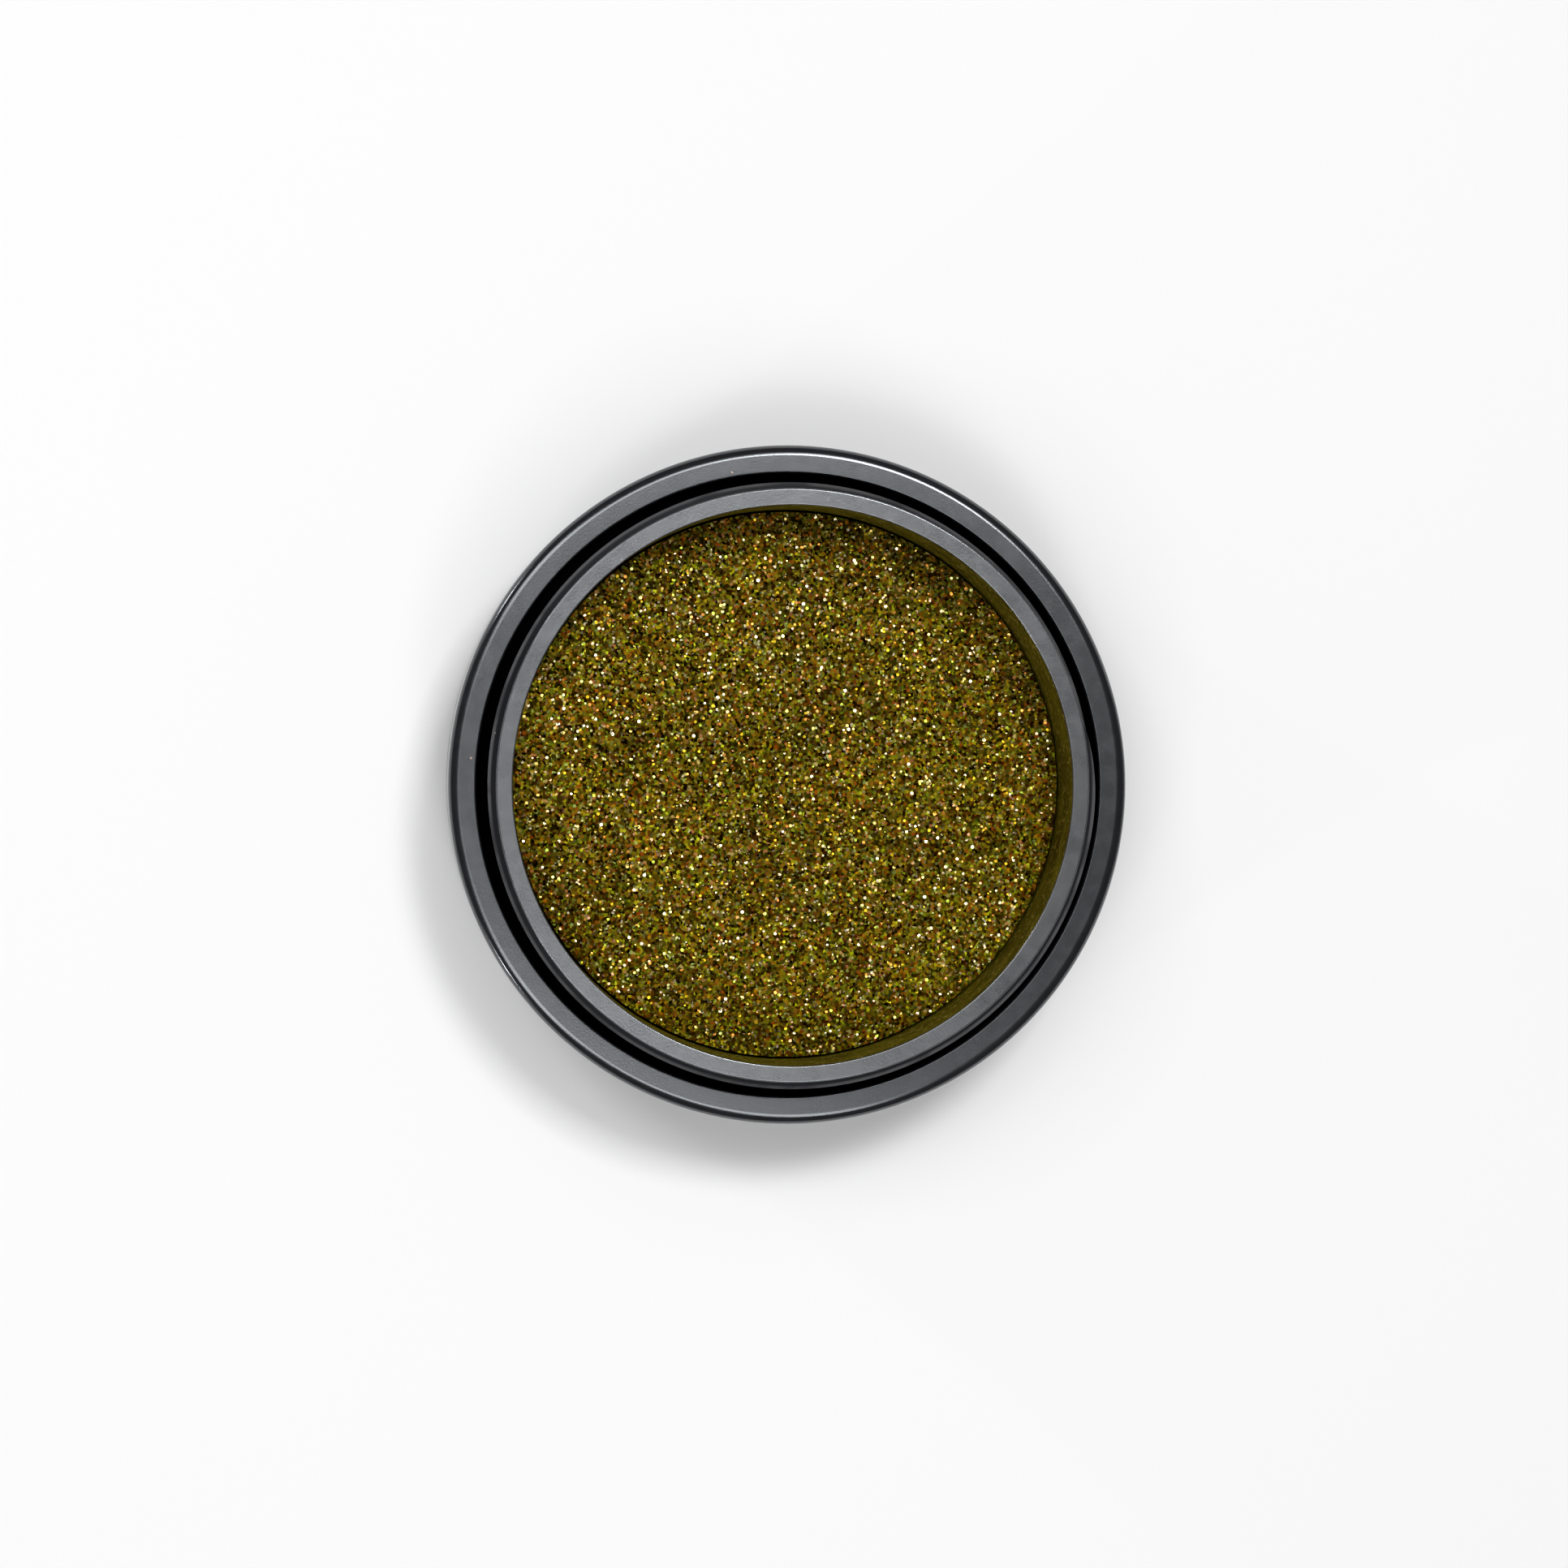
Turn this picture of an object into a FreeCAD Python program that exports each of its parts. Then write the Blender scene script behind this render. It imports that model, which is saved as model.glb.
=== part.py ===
"""Round screw pot of pressed glitter eyeshadow, open, with its lid lying upside down beside it.

Millimetres, +Z up. The origin is the middle of the pot's foot, on the surface that it stands on.
The pot has a double wall: an outer shell, and inside it a jar with a threaded neck, which holds a
metal pan of pressed shadow. The lid is a shell with a threaded cap and a liner inside.
"""
import FreeCAD
import Part
import math
import os

Vector = FreeCAD.Vector

# Inner jar: well, neck and the flange that seats it in the shell
WELL_DIAMETER = 32.6
WELL_DEPTH = 11.8
WELL_FLOOR_RADIUS = 0.15
NECK_WALL = 0.97
RIM_EDGE_RADIUS = 0.08
JAR_FLOOR = 1.4
JAR_FOOT_RADIUS = 0.8
FLANGE_THICKNESS = 1.8
FLANGE_EDGE_RADIUS = 0.2

# Neck thread: one right-hand start that runs out into the wall at both ends
THREAD_PITCH = 2.4
THREAD_TURNS = 1.2
THREAD_HEIGHT = 0.45
THREAD_ROOT_WIDTH = 1.0
THREAD_CREST_WIDTH = 0.4
THREAD_END_AZIMUTH = 22.0
THREAD_RUNOUT = 22.0
THREAD_FOOT_LAND = 0.3
THREAD_RIM_LAND = 0.42
THREAD_ROOT_SINK = 0.2
THREAD_SECTION_STEP = 12.0

# Outer shell
CHANNEL_GAP = 0.63
CHANNEL_DEPTH = 2.2
SHELL_WALL = 1.65
SHELL_FLOOR = 1.2
SHELL_FLOOR_RADIUS = 0.5
UNDER_JAR_GAP = 2.8
LOWER_WALL_GAP = 0.35
SHOULDER_OUTER_RADIUS = 0.6
SHOULDER_INNER_RADIUS = 0.12
FOOT_RADIUS = 0.6

# Snap bead and turn-stop lugs that hold the jar in the shell
SEAT_CLEARANCE = 0.05
SNAP_BEAD_HEIGHT = 0.15
SNAP_BEAD_WIDTH = 0.7
LUG_COUNT = 4
LUG_WIDTH = 2.4
LUG_HEIGHT = 1.0
LUG_SIDE_CLEARANCE = 0.1

# Pan, glue and pressed shadow
PAN_CLEARANCE = 0.2
PAN_WALL = 0.2
PAN_HEIGHT = 4.2
PAN_CORNER_RADIUS = 0.6
ADHESIVE_THICKNESS = 0.15
ADHESIVE_MARGIN = 3.0
CAKE_PROUD = 0.05
CAKE_CLEARANCE = 0.02

# Blank label in a recess under the foot
LABEL_DIAMETER = 28.0
LABEL_THICKNESS = 0.12
LABEL_MARGIN = 0.5
LABEL_RECESS_DEPTH = 0.4

# Lid: shell, threaded cap and liner, in the place where they close on the neck
LID_GAP = 0.25
LID_SHELL_WALL = 0.8
LID_SHELL_ROOF = 1.1
LID_TOP_RADIUS = 0.6
LID_SKIRT_RADIUS = 0.15
CAP_CLEARANCE = 0.03
CAP_ROOF = 0.9
CAP_CORNER_RADIUS = 0.3
CAP_SKIRT_RECESS = 0.3
CAP_BORE_CLEARANCE = 0.4
CAP_THREAD_ENGAGEMENT = 0.2
CAP_THREAD_LAND = 0.1
THREAD_SLACK = 0.05
LINER_THICKNESS = 1.0
LINER_CLEARANCE = 0.15

# Lid laid aside: how far its axis is from the pot's
LID_REST_DISTANCE = 74.0

# Radii, worked out from the well outwards
well_radius = WELL_DIAMETER / 2
neck_radius = well_radius + NECK_WALL
crest_radius = neck_radius + THREAD_HEIGHT
shell_bore = crest_radius + CHANNEL_GAP
shell_radius = shell_bore + SHELL_WALL
lower_bore = neck_radius + LOWER_WALL_GAP
flange_radius = shell_bore - SEAT_CLEARANCE
pan_radius = well_radius - PAN_CLEARANCE
label_radius = LABEL_DIAMETER / 2
cap_bore = crest_radius + CAP_BORE_CLEARANCE
cap_radius = shell_radius - LID_SHELL_WALL - CAP_CLEARANCE
cap_crest_radius = crest_radius - CAP_THREAD_ENGAGEMENT

# Heights, worked out from the foot upwards
shell_floor_z = LABEL_RECESS_DEPTH + SHELL_FLOOR
jar_foot_z = shell_floor_z + UNDER_JAR_GAP
well_floor_z = jar_foot_z + JAR_FLOOR
rim_z = well_floor_z + WELL_DEPTH
neck_rise = THREAD_FOOT_LAND + THREAD_ROOT_WIDTH + THREAD_TURNS * THREAD_PITCH + THREAD_RIM_LAND
shoulder_z = rim_z - neck_rise
flange_top_z = shoulder_z - CHANNEL_DEPTH
ledge_z = flange_top_z - FLANGE_THICKNESS
snap_z = ledge_z + FLANGE_THICKNESS / 2
thread_z = shoulder_z + THREAD_FOOT_LAND + THREAD_ROOT_WIDTH / 2
pan_foot_z = well_floor_z + ADHESIVE_THICKNESS
pan_rim_z = pan_foot_z + PAN_HEIGHT
skirt_z = shoulder_z + LID_GAP
cap_skirt_z = skirt_z + CAP_SKIRT_RECESS
liner_top_z = rim_z + LINER_THICKNESS
cap_top_z = liner_top_z + CAP_ROOF
lid_top_z = cap_top_z + LID_SHELL_ROOF

# The lid's thread runs this far under the neck's thread when closed, and rests as far above it when set on
thread_step = (THREAD_ROOT_WIDTH + THREAD_CREST_WIDTH) / 2 + THREAD_SLACK
set_on_lift = 2 * thread_step

# The lid turns over about this line between setting it on the neck and laying it aside
turn_over_x = LID_REST_DISTANCE / 2
turn_over_z = (lid_top_z + set_on_lift) / 2


def rounded_wire(corners):
    """Closed wire in the XZ plane through (r, z, radius) corners, each rounded by a tangent arc."""
    points = [Vector(r, 0, z) for r, z, _ in corners]
    ends = []
    arcs = []
    for i, (_, _, radius) in enumerate(corners):
        here = points[i]
        to_last = points[i - 1] - here
        to_next = points[(i + 1) % len(points)] - here
        half_angle = to_last.getAngle(to_next) / 2
        room = 0.49 * min(to_last.Length, to_next.Length)
        setback = min(radius / math.tan(half_angle), room)
        if setback < 1e-6:
            ends.append((here, here))
            arcs.append(None)
            continue
        to_last.normalize()
        to_next.normalize()
        middle = to_last + to_next
        middle.normalize()
        reach = setback / math.cos(half_angle) - setback * math.tan(half_angle)
        start = here + to_last * setback
        end = here + to_next * setback
        ends.append((start, end))
        arcs.append(Part.Arc(start, here + middle * reach, end).toShape())
    edges = []
    for i, (_, end) in enumerate(ends):
        if arcs[i]:
            edges.append(arcs[i])
        edges.append(Part.makeLine(end, ends[(i + 1) % len(ends)][0]))
    return Part.Wire(edges)


def turned(corners):
    """Solid turned about the Z axis from an outline of (r, z, radius) corners."""
    face = Part.Face(rounded_wire(corners))
    return face.revolve(Vector(0, 0, 0), Vector(0, 0, 1), 360)


def disc(radius, low_z, high_z):
    """Plain round plate."""
    return Part.makeCylinder(radius, high_z - low_z, Vector(0, 0, low_z))


def snap_ring(radius, rise):
    """Corners of the low ridge by which the jar clicks into the shell's bore, from its top down."""
    half = SNAP_BEAD_WIDTH / 2
    return [(radius, snap_z + half, 0), (radius + rise, snap_z, 0), (radius, snap_z - half, 0)]


def lugs(width, height):
    """Keys under the jar's flange that stop it turning in the shell, or their slots if larger."""
    inner = neck_radius - NECK_WALL / 2
    outer = shell_bore - SEAT_CLEARANCE - SNAP_BEAD_HEIGHT
    solids = []
    for i in range(LUG_COUNT):
        lug = Part.makeBox(outer - inner, width, height, Vector(inner, -width / 2, ledge_z - height))
        lug.rotate(Vector(0, 0, 0), Vector(0, 0, 1), 360 * (i + 0.5) / LUG_COUNT)
        solids.append(lug)
    return solids


def thread_ridge(wall_radius, tip_radius, low_z, first_turn):
    """Helical ridge on a wall, from first_turn to the thread's end, sunk at its root for a sound union."""
    height = tip_radius - wall_radius
    side = math.copysign(1, height)
    root = wall_radius - side * THREAD_ROOT_SINK
    hidden = wall_radius - side * THREAD_ROOT_SINK / 2
    runout = THREAD_RUNOUT / 360
    steps = math.ceil((THREAD_TURNS - first_turn) * 360 / THREAD_SECTION_STEP)
    sections = []
    for i in range(steps + 1):
        turn = first_turn + (THREAD_TURNS - first_turn) * i / steps
        share = min(turn - first_turn, THREAD_TURNS - turn, runout) / runout
        tip = hidden + (tip_radius - hidden) * share * share * (3 - 2 * share)
        z = low_z + THREAD_PITCH * turn
        outline = [
            (root, z - THREAD_ROOT_WIDTH / 2),
            (tip, z - THREAD_CREST_WIDTH / 2),
            (tip, z + THREAD_CREST_WIDTH / 2),
            (root, z + THREAD_ROOT_WIDTH / 2),
        ]
        angle = math.radians(THREAD_END_AZIMUTH + 360 * (turn - THREAD_TURNS))
        points = [Vector(r * math.cos(angle), r * math.sin(angle), h) for r, h in outline]
        sections.append(Part.makePolygon(points + points[:1]))
    return Part.makeLoft(sections, True, False)


def outer_shell():
    """Cup with a flat shoulder ring on top, a ledge in its bore for the jar and a recess under it."""
    recess_radius = label_radius + LABEL_MARGIN
    body = turned(
        [
            (0, LABEL_RECESS_DEPTH, 0),
            (recess_radius, LABEL_RECESS_DEPTH, 0),
            (recess_radius, 0, 0),
            (shell_radius, 0, FOOT_RADIUS),
            (shell_radius, shoulder_z, SHOULDER_OUTER_RADIUS),
            (shell_bore, shoulder_z, SHOULDER_INNER_RADIUS),
        ]
        + snap_ring(shell_bore, SNAP_BEAD_HEIGHT)
        + [
            (shell_bore, ledge_z, 0),
            (lower_bore, ledge_z, 0),
            (lower_bore, shell_floor_z, SHELL_FLOOR_RADIUS),
            (0, shell_floor_z, 0),
        ]
    )
    slots = lugs(LUG_WIDTH + 2 * LUG_SIDE_CLEARANCE, LUG_HEIGHT + LUG_SIDE_CLEARANCE)
    return body.cut(slots).removeSplitter()


def inner_jar():
    """Cup with a threaded neck and a seating flange, keyed and snapped into the shell."""
    snap = snap_ring(flange_radius, SNAP_BEAD_HEIGHT)
    body = turned(
        [
            (0, jar_foot_z, 0),
            (neck_radius, jar_foot_z, JAR_FOOT_RADIUS),
            (neck_radius, ledge_z, 0),
            (flange_radius, ledge_z, 0),
        ]
        + snap[::-1]
        + [
            (flange_radius, flange_top_z, FLANGE_EDGE_RADIUS),
            (neck_radius, flange_top_z, 0),
            (neck_radius, rim_z, RIM_EDGE_RADIUS),
            (well_radius, rim_z, RIM_EDGE_RADIUS),
            (well_radius, well_floor_z, WELL_FLOOR_RADIUS),
            (0, well_floor_z, 0),
        ]
    )
    ridge = thread_ridge(neck_radius, crest_radius, thread_z, 0)
    return body.fuse(lugs(LUG_WIDTH, LUG_HEIGHT) + [ridge]).removeSplitter()


def pan():
    """Drawn metal dish, glued to the jar's floor."""
    inside = pan_radius - PAN_WALL
    return turned(
        [
            (0, pan_foot_z, 0),
            (pan_radius, pan_foot_z, PAN_CORNER_RADIUS),
            (pan_radius, pan_rim_z, 0),
            (inside, pan_rim_z, 0),
            (inside, pan_foot_z + PAN_WALL, PAN_CORNER_RADIUS - PAN_WALL),
            (0, pan_foot_z + PAN_WALL, 0),
        ]
    )


def shadow_cake():
    """Pressed shadow, level and just proud of the pan's edge."""
    radius = pan_radius - PAN_WALL - CAKE_CLEARANCE
    low_z = pan_foot_z + PAN_WALL
    high_z = pan_rim_z + CAKE_PROUD
    return turned([(0, low_z, 0), (radius, low_z, PAN_CORNER_RADIUS), (radius, high_z, 0), (0, high_z, 0)])


def pan_adhesive():
    """Glue disc between the pan and the jar's floor."""
    return disc(pan_radius - ADHESIVE_MARGIN, well_floor_z, pan_foot_z)


def base_label():
    """Blank sticker against the roof of the recess under the pot."""
    return disc(label_radius, LABEL_RECESS_DEPTH - LABEL_THICKNESS, LABEL_RECESS_DEPTH)


def lid_shell():
    """Lid's outer shell, as wide as the pot."""
    inside = shell_radius - LID_SHELL_WALL
    return turned(
        [
            (inside, skirt_z, LID_SKIRT_RADIUS),
            (shell_radius, skirt_z, LID_SKIRT_RADIUS),
            (shell_radius, lid_top_z, LID_TOP_RADIUS),
            (0, lid_top_z, 0),
            (0, cap_top_z, 0),
            (inside, cap_top_z, 0),
        ]
    )


def lid_inner_cap():
    """Threaded cap pressed into the lid's shell."""
    body = turned(
        [
            (cap_bore, cap_skirt_z, 0),
            (cap_radius, cap_skirt_z, 0),
            (cap_radius, cap_top_z, CAP_CORNER_RADIUS),
            (0, cap_top_z, 0),
            (0, liner_top_z, 0),
            (cap_bore, liner_top_z, 0),
        ]
    )
    lowest_z = cap_skirt_z + CAP_THREAD_LAND + THREAD_ROOT_WIDTH / 2
    first_turn = (lowest_z + thread_step - thread_z) / THREAD_PITCH
    ridge = thread_ridge(cap_bore, cap_crest_radius, thread_z - thread_step, first_turn)
    return body.fuse(ridge).removeSplitter()


def lid_liner():
    """Liner disc under the cap's roof, held in by the thread."""
    return disc(cap_bore - LINER_CLEARANCE, rim_z, liner_top_z)


def laid_aside(shape):
    """A lid piece turned over from where it sets on the neck to where it lies beside the pot."""
    shape.translate(Vector(0, 0, set_on_lift))
    shape.rotate(Vector(turn_over_x, 0, turn_over_z), Vector(0, 1, 0), 180)
    return shape


pieces = {
    "outer_shell": outer_shell(),
    "inner_jar": inner_jar(),
    "pan_adhesive": pan_adhesive(),
    "pan": pan(),
    "shadow_cake": shadow_cake(),
    "base_label": base_label(),
    "lid_shell": laid_aside(lid_shell()),
    "lid_inner_cap": laid_aside(lid_inner_cap()),
    "lid_liner": laid_aside(lid_liner()),
}

os.makedirs("parts", exist_ok=True)
for node, shape in pieces.items():
    shape.exportStep(f"parts/{node}.step")
    print(f"{node}: {len(shape.Solids)} solid, {shape.Volume:.1f} mm3, sound {shape.isValid()}")
print(f"lid turns over about x {turn_over_x:.3f}, z {turn_over_z:.3f}")
print(f"shoulder {shoulder_z:.3f}, rim {rim_z:.3f}, shadow {pan_rim_z + CAKE_PROUD:.3f}")
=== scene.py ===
import math

import bpy
from mathutils import Matrix, Vector


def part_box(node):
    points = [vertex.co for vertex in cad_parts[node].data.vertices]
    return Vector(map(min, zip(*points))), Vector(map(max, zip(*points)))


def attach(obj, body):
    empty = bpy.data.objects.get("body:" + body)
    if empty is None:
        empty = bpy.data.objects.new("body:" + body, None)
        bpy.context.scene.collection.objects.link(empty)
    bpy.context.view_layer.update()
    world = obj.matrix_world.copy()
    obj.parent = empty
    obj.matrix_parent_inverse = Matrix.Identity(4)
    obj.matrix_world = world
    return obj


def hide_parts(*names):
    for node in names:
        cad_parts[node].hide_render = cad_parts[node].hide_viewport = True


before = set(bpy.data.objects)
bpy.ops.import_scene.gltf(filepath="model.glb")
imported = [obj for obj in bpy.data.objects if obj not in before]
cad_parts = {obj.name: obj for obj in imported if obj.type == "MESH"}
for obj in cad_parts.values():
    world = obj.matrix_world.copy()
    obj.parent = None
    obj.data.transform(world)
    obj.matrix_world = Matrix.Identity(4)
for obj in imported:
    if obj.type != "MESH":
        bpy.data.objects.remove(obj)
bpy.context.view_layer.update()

bpy.ops.object.select_all(action="DESELECT")
MM = 0.001

# Outer shell
# The pot's wall, shoulder ring and foot, one black plastic moulding. The mould gives it a fine satin
# grain, and handling leaves faint cloudy marks and a few specks of shadow dust on it.
SHELL_BLACK = (0.0062, 0.0062, 0.0075, 1)
SHELL_WORN = (0.0088, 0.0088, 0.0103, 1)
SPECK_TAN = (0.42, 0.27, 0.20, 1)
SPECK_SPACING = 1500.0
SPECK_EDGE = (0.07, 0.13)
SHELL_GRAIN = 9000.0
SHELL_DUST_SHARE = 0.03
GRAIN_DEPTH = 0.005 * MM
GRAIN_STRENGTH = 0.5
CLOUD_SCALE = 1100.0
SATIN_ROUGHNESS = (0.173, 0.187)
SATIN_IOR = 1.75
CHANNEL_MATT = 0.85
# Near-black painted shade for the groove round the neck and for the neck's root.
PAINTED_SHADE_BLACK = (0.0015, 0.0015, 0.0018, 1)
COOL_SHEEN = (0.92, 0.96, 1.0, 1)
CHANNEL_SIDE = 1.2 * MM
MATT_AND_SHADE_BELOW_SHOULDER = (0.25 * MM, 0.6 * MM)
TURN_STEPS = 192
ROUND_STEPS = 8
FLAT_HOLD = 0.03 * MM
SHORTEST_FLAT = 8 * FLAT_HOLD
SMOOTH_UP_TO = math.radians(30)
SHELL_WALL = 1.65 * MM
SHOULDER_OUTER_RADIUS = 0.6 * MM
SHOULDER_INNER_RADIUS = 0.12 * MM
FOOT_RADIUS = 0.6 * MM
FLANGE_TOP_BELOW_SHOULDER = 2.2 * MM
LEDGE_BELOW_SHOULDER = 4.0 * MM
SEAT_RELIEF = 0.16 * MM
LOWER_WALL = 2.38 * MM
SHELL_FLOOR = 1.2 * MM
RECESS_MARGIN = 0.5 * MM
RECESS_DEPTH = 0.4 * MM
_, shell_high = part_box("outer_shell")
_, label_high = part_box("base_label")
shell_radius = shell_high.x
shoulder_z = shell_high.z


def active_piece(name):
    """The object just added, under its own name."""
    piece = bpy.context.object
    piece.name = name
    piece.data.name = name
    return piece


def round_corner(radius, height, size, start, end):
    """Points of a corner in radius and height, rounded about a centre from one angle to another."""
    angles = [math.radians(start + (end - start) * i / ROUND_STEPS) for i in range(ROUND_STEPS + 1)]
    return [(radius + size * math.cos(angle), height + size * math.sin(angle)) for angle in angles]


def hold_flats(outline):
    """The outline with a point more near each end of its straights, so that flats shade as flat."""
    held = [outline[0]]
    for (r0, z0), (r1, z1) in zip(outline, outline[1:]):
        length = math.hypot(r1 - r0, z1 - z0)
        if length > SHORTEST_FLAT:
            for share in (FLAT_HOLD / length, 1 - FLAT_HOLD / length):
                held.append((r0 + (r1 - r0) * share, z0 + (z1 - z0) * share))
        held.append((r1, z1))
    return held


def turn_piece(name, outline, axis_x=0.0):
    """A closed piece turned from an outline of (radius, height) points, capped at both its ends."""
    (radius, height), *rest = hold_flats(outline)
    bpy.ops.object.select_all(action="DESELECT")
    bpy.ops.mesh.primitive_circle_add(vertices=TURN_STEPS, radius=radius, location=(0, 0, height))
    bpy.ops.object.transform_apply(location=True)
    piece = active_piece(name)
    bpy.ops.object.mode_set(mode="EDIT")
    bpy.ops.mesh.select_all(action="SELECT")
    for new_radius, new_height in rest:
        bpy.ops.mesh.extrude_region_move(TRANSFORM_OT_translate={"value": (0, 0, new_height - height)})
        bpy.ops.transform.resize(value=(new_radius / radius, new_radius / radius, 1))
        radius, height = new_radius, new_height
    bpy.ops.mesh.edge_face_add()
    bpy.ops.mesh.select_all(action="DESELECT")
    bpy.ops.mesh.select_non_manifold()
    bpy.ops.mesh.edge_face_add()
    bpy.ops.mesh.select_all(action="SELECT")
    bpy.ops.mesh.normals_make_consistent(inside=False)
    bpy.ops.transform.translate(value=(axis_x, 0, 0))
    bpy.ops.object.mode_set(mode="OBJECT")
    bpy.ops.object.shade_smooth_by_angle(angle=SMOOTH_UP_TO)
    return piece


bore = shell_radius - SHELL_WALL
recess = label_high.x + RECESS_MARGIN
ledge_z = shoulder_z - LEDGE_BELOW_SHOULDER
flange_z = shoulder_z - FLANGE_TOP_BELOW_SHOULDER
shell_outline = [(recess, RECESS_DEPTH), (recess, 0)]
shell_outline += round_corner(shell_radius - FOOT_RADIUS, FOOT_RADIUS, FOOT_RADIUS, -90, 0)
shell_outline += round_corner(
    shell_radius - SHOULDER_OUTER_RADIUS, shoulder_z - SHOULDER_OUTER_RADIUS, SHOULDER_OUTER_RADIUS, 0, 90
)
shell_outline += round_corner(
    bore + SHOULDER_INNER_RADIUS, shoulder_z - SHOULDER_INNER_RADIUS, SHOULDER_INNER_RADIUS, 90, 180
)
shell_outline += [
    (bore, flange_z),
    (bore + SEAT_RELIEF, flange_z),
    (bore + SEAT_RELIEF, ledge_z),
    (shell_radius - LOWER_WALL, ledge_z),
    (shell_radius - LOWER_WALL, RECESS_DEPTH + SHELL_FLOOR),
]
shell = turn_piece("turned_shell", shell_outline)


def add_node(tree, kind, inputs=None, **settings):
    """A node in a tree with its settings, each input being a value or the socket that feeds it."""
    made = tree.nodes.new(kind)
    for name, value in settings.items():
        setattr(made, name, value)
    for name, value in (inputs or {}).items():
        if isinstance(value, bpy.types.NodeSocket):
            tree.links.new(value, made.inputs[name])
        else:
            made.inputs[name].default_value = value
    return made


def add_ramp(tree, factor, stops, smooth=True):
    """A colour ramp of (place, colour) stops."""
    ramp = add_node(tree, "ShaderNodeValToRGB", {"Fac": factor})
    ramp.color_ramp.interpolation = "EASE" if smooth else "CONSTANT"
    elements = ramp.color_ramp.elements
    elements.remove(elements[1])
    elements[0].position, elements[0].color = stops[0]
    for place, colour in stops[1:]:
        elements.new(place).color = colour
    return ramp.outputs["Color"]


def add_range(tree, value, low, high, to_low=0.0, to_high=1.0):
    """A value moved smoothly from one range to another, and held at its ends."""
    made = add_node(
        tree,
        "ShaderNodeMapRange",
        {"Value": value, "From Min": low, "From Max": high, "To Min": to_low, "To Max": to_high},
        interpolation_type="SMOOTHSTEP",
    )
    return made.outputs["Result"]


def add_math(tree, operation, first, second=0.5):
    """One sum on two values."""
    return add_node(tree, "ShaderNodeMath", {0: first, 1: second}, operation=operation).outputs["Value"]


def add_mix(tree, factor, first, second, blend="MIX"):
    """A colour mixed from two."""
    made = add_node(
        tree, "ShaderNodeMix", {0: factor, 6: first, 7: second}, data_type="RGBA", blend_type=blend
    )
    return made.outputs[2]


def add_noise(tree, place, scale, detail, roughness=0.5):
    """A cloudy pattern between 0 and 1."""
    made = add_node(
        tree,
        "ShaderNodeTexNoise",
        {"Vector": place, "Scale": scale, "Detail": detail, "Roughness": roughness},
    )
    return made.outputs["Fac"]


def new_group(name, inputs, outputs):
    """An empty shader group with named sockets of (kind, default)."""
    group = bpy.data.node_groups.new(name, "ShaderNodeTree")
    for label, (kind, value) in inputs.items():
        socket = group.interface.new_socket(label, in_out="INPUT", socket_type=kind)
        socket.default_value = value
    for label in outputs:
        group.interface.new_socket(label, in_out="OUTPUT", socket_type="NodeSocketFloat")
    return group, group.nodes.new("NodeGroupInput").outputs, group.nodes.new("NodeGroupOutput").inputs


def new_material(name):
    """A material's tree, its shader and the object's own coordinates."""
    material = bpy.data.materials.new(name)
    material.use_nodes = True
    tree = material.node_tree
    place = add_node(tree, "ShaderNodeTexCoord").outputs["Object"]
    return material, tree, tree.nodes["Principled BSDF"], place


def dress(node, material):
    """Gives a CAD node its finish."""
    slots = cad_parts[node].data.materials
    slots.clear()
    slots.append(material)


POINT = ("NodeSocketVector", (0, 0, 0))
moulded_satin, ends_in, ends_out = new_group(
    "moulded_satin",
    {
        "Place": POINT,
        "Grain": ("NodeSocketFloat", SHELL_GRAIN),
        "Cloud": ("NodeSocketFloat", CLOUD_SCALE),
    },
    ["Height", "Cloudiness"],
)
fine = add_noise(moulded_satin, ends_in["Place"], ends_in["Grain"], 3.0, 0.65)
cloud = add_noise(moulded_satin, ends_in["Place"], ends_in["Cloud"], 5.0, 0.6)
moulded_satin.links.new(fine, ends_out["Height"])
moulded_satin.links.new(add_range(moulded_satin, cloud, 0.35, 0.7), ends_out["Cloudiness"])

turned_place, ends_in, ends_out = new_group("turned_place", {"Place": POINT}, ["Radius", "Height"])
parts = add_node(turned_place, "ShaderNodeSeparateXYZ", {"Vector": ends_in["Place"]}).outputs
flat = add_node(turned_place, "ShaderNodeCombineXYZ", {"X": parts["X"], "Y": parts["Y"]}).outputs["Vector"]
reach = add_node(turned_place, "ShaderNodeVectorMath", {0: flat}, operation="LENGTH").outputs["Value"]
turned_place.links.new(reach, ends_out["Radius"])
turned_place.links.new(parts["Z"], ends_out["Height"])

stray_dust, ends_in, ends_out = new_group(
    "stray_dust",
    {
        "Place": POINT,
        "Spacing": ("NodeSocketFloat", SPECK_SPACING),
        "Share": ("NodeSocketFloat", SHELL_DUST_SHARE),
    },
    ["Mask"],
)
cells = add_node(
    stray_dust, "ShaderNodeTexVoronoi", {"Vector": ends_in["Place"], "Scale": ends_in["Spacing"]}
)
chance = add_node(stray_dust, "ShaderNodeSeparateColor", {"Color": cells.outputs["Color"]}).outputs
kept = add_math(stray_dust, "LESS_THAN", chance["Red"], ends_in["Share"])
speck = add_range(stray_dust, cells.outputs["Distance"], *SPECK_EDGE, 1.0, 0.0)
stray_dust.links.new(add_math(stray_dust, "MULTIPLY", kept, speck), ends_out["Mask"])


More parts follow.
